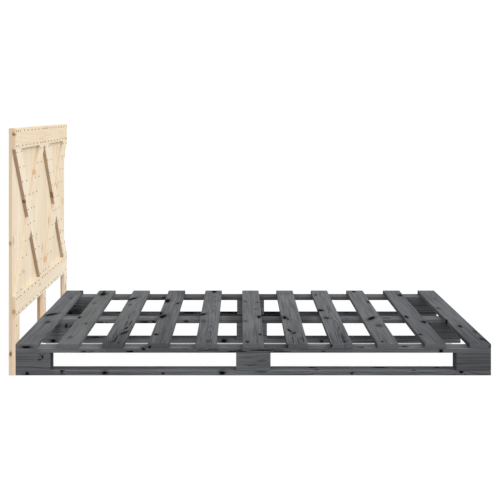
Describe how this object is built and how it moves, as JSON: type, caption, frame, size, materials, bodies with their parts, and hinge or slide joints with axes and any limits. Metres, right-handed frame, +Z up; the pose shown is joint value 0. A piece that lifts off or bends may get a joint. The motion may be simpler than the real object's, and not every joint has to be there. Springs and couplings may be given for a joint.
{
  "type": "bed frame",
  "caption": "Low double bed frame built like a pallet, with grey-stained slats on blocks and a tall bare-pine headboard with crossed braces.",
  "frame": {"origin": "on the floor, under the middle of the whole frame's box", "axes": "+X from the headboard to the foot, +Y from the side nearest the picture's camera to the far side, +Z up"},
  "size_m": [2.029, 1.4, 1.04],
  "materials": {
    "grey_stained_pine": "matte stain",
    "bare_pine": "planed and unfinished",
    "nail_steel": "dull dark wire steel",
    "stained_nail_steel": "stained over with the wood",
    "zinc_plated_steel": "satin zinc"
  },
  "bodies": {
    "root": {"runner_near": "grey_stained_pine", "runner_middle": "grey_stained_pine", "runner_far": "grey_stained_pine", "block_near_head": "grey_stained_pine", "block_near_centre": "grey_stained_pine", "block_near_foot": "grey_stained_pine", "block_middle_head": "grey_stained_pine", "block_middle_centre": "grey_stained_pine", "block_middle_foot": "grey_stained_pine", "block_far_head": "grey_stained_pine", "block_far_centre": "grey_stained_pine", "block_far_foot": "grey_stained_pine", "bearer_near": "grey_stained_pine", "bearer_middle": "grey_stained_pine", "bearer_far": "grey_stained_pine", "slat_1": "grey_stained_pine", "slat_2": "grey_stained_pine", "slat_3": "grey_stained_pine", "slat_4": "grey_stained_pine", "slat_5": "grey_stained_pine", "slat_6": "grey_stained_pine", "slat_7": "grey_stained_pine", "slat_8": "grey_stained_pine", "slat_9": "grey_stained_pine", "slat_10": "grey_stained_pine", "slat_11": "grey_stained_pine", "rear_plank_1": "bare_pine", "rear_plank_2": "bare_pine", "rear_plank_3": "bare_pine", "rear_plank_4": "bare_pine", "rear_plank_5": "bare_pine", "rear_plank_6": "bare_pine", "rear_plank_7": "bare_pine", "rear_plank_8": "bare_pine", "rear_plank_9": "bare_pine", "rear_plank_10": "bare_pine", "rear_plank_11": "bare_pine", "rear_plank_12": "bare_pine", "rear_plank_13": "bare_pine", "rear_plank_14": "bare_pine", "rear_plank_15": "bare_pine", "rear_plank_16": "bare_pine", "rear_plank_17": "bare_pine", "top_rail": "bare_pine", "bottom_rail": "bare_pine", "leg_board_near": "bare_pine", "leg_board_middle": "bare_pine", "leg_board_far": "bare_pine", "near_brace": "bare_pine", "near_brace_lower_half": "bare_pine", "near_brace_upper_half": "bare_pine", "far_brace": "bare_pine", "far_brace_lower_half": "bare_pine", "far_brace_upper_half": "bare_pine", "headboard_nails": "nail_steel", "slat_nails": "stained_nail_steel", "block_nails": "stained_nail_steel", "headboard_screws": "zinc_plated_steel"}
  },
  "joints": []
}
